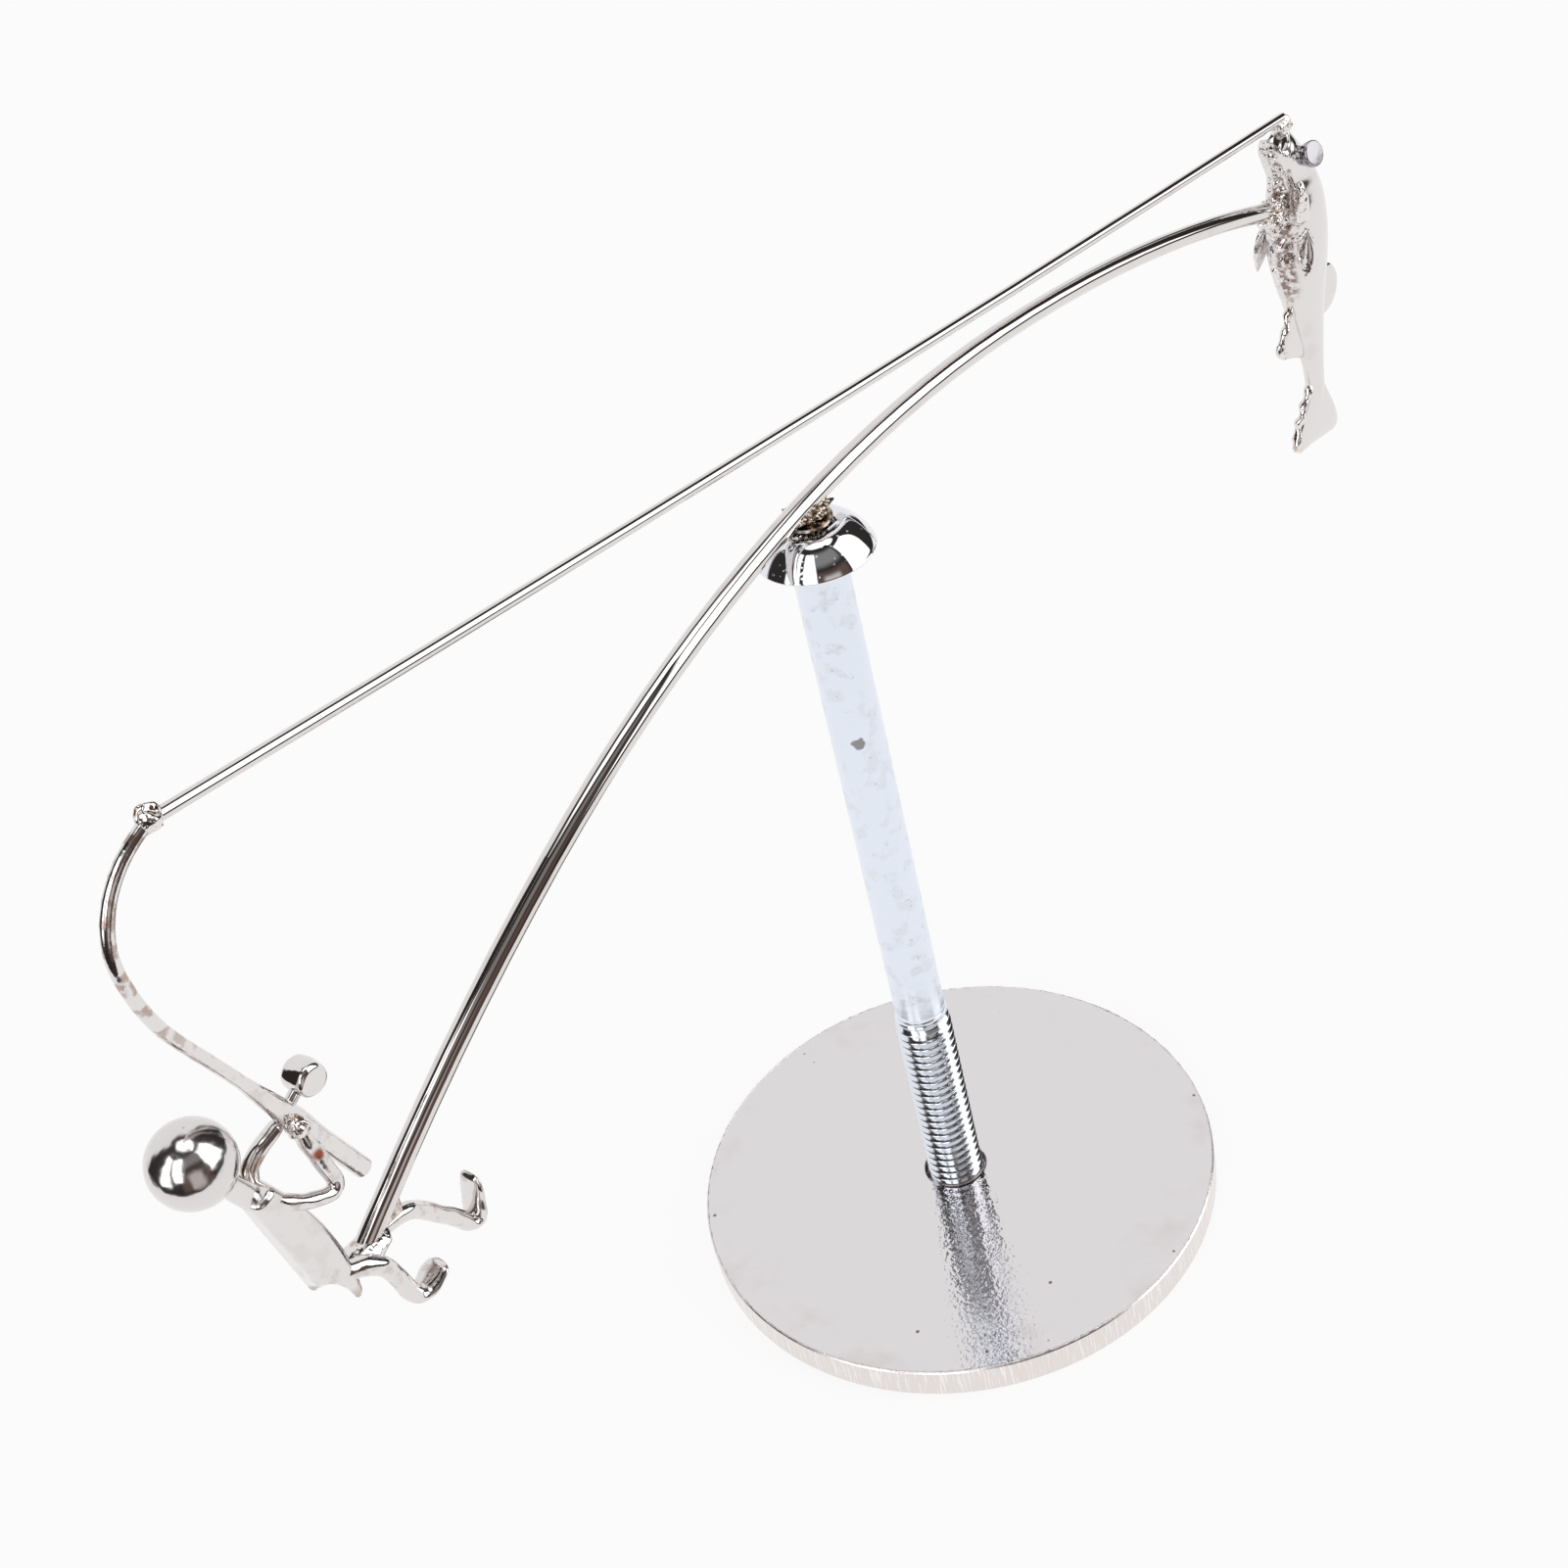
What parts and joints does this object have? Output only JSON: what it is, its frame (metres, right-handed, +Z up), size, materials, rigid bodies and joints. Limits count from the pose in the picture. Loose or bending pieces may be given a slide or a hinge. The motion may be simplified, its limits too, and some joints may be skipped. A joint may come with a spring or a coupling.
{
  "type": "counterweight balancing toy",
  "caption": "Balancing toy: a fisherman and a fish on the ends of a bent wire arm that rocks and turns on a ball point atop a bolt post with a round base.",
  "frame": {"origin": "centre of the base's underside, on the post's axis", "axes": "+Z up along the post; +X from the post towards the fish, in the plane of the bent arm; +Y completes a right-handed frame"},
  "size_m": [0.1735, 0.056, 0.1075],
  "materials": {
    "base_plate": "polished nickel plate with a fine orange-peel grain",
    "bolt_zinc": "bright zinc plate, pale on the shank and mirror-like on the head",
    "ball_steel": "polished steel",
    "pin_plate": "dull nickel, browned by soldering",
    "wire_nickel": "polished nickel plate",
    "figure_nickel": "satin nickel plate",
    "limb_nickel": "polished nickel plate",
    "head_nickel": "mirror nickel plate",
    "rod_nickel": "satin nickel plate",
    "reel_nickel": "polished nickel plate",
    "fish_nickel": "satin nickel plate",
    "eye_nickel": "polished nickel plate",
    "solder_nickel": "rough plated solder, browned in its hollows"
  },
  "bodies": {
    "stand": {"base_disc": "base_plate", "post_bolt": "bolt_zinc"},
    "pivot_point": {"pivot_ball": "ball_steel"},
    "beam": {"pivot_pin": "pin_plate", "balance_arm": "wire_nickel", "pivot_solder": "solder_nickel", "head_ball": "head_nickel", "torso": "figure_nickel", "left_arm": "limb_nickel", "right_arm": "limb_nickel", "left_leg": "limb_nickel", "right_leg": "limb_nickel", "fishing_rod": "rod_nickel", "reel_stem": "rod_nickel", "reel_drum": "reel_nickel", "line_wire": "wire_nickel", "fish_left_half": "fish_nickel", "fish_right_half": "fish_nickel", "fish_left_eye": "eye_nickel", "fish_right_eye": "eye_nickel", "left_side_fin": "fish_nickel", "right_side_fin": "fish_nickel", "hand_solder": "solder_nickel", "seat_solder": "solder_nickel", "thigh_solder": "solder_nickel", "knot_solder": "solder_nickel", "fish_solder": "solder_nickel", "mouth_solder": "solder_nickel"}
  },
  "joints": [
    {"name": "turn_on_post", "type": "hinge", "parent": "stand", "child": "pivot_point", "pos_m": [0, 0, 0.08559], "axis": [0, 0, 1], "continuous": true},
    {"name": "rock_on_point", "type": "hinge", "parent": "pivot_point", "child": "beam", "pos_m": [0, 0, 0.08559], "axis": [0, 1, 0], "range_deg": [-9, 9]}
  ]
}
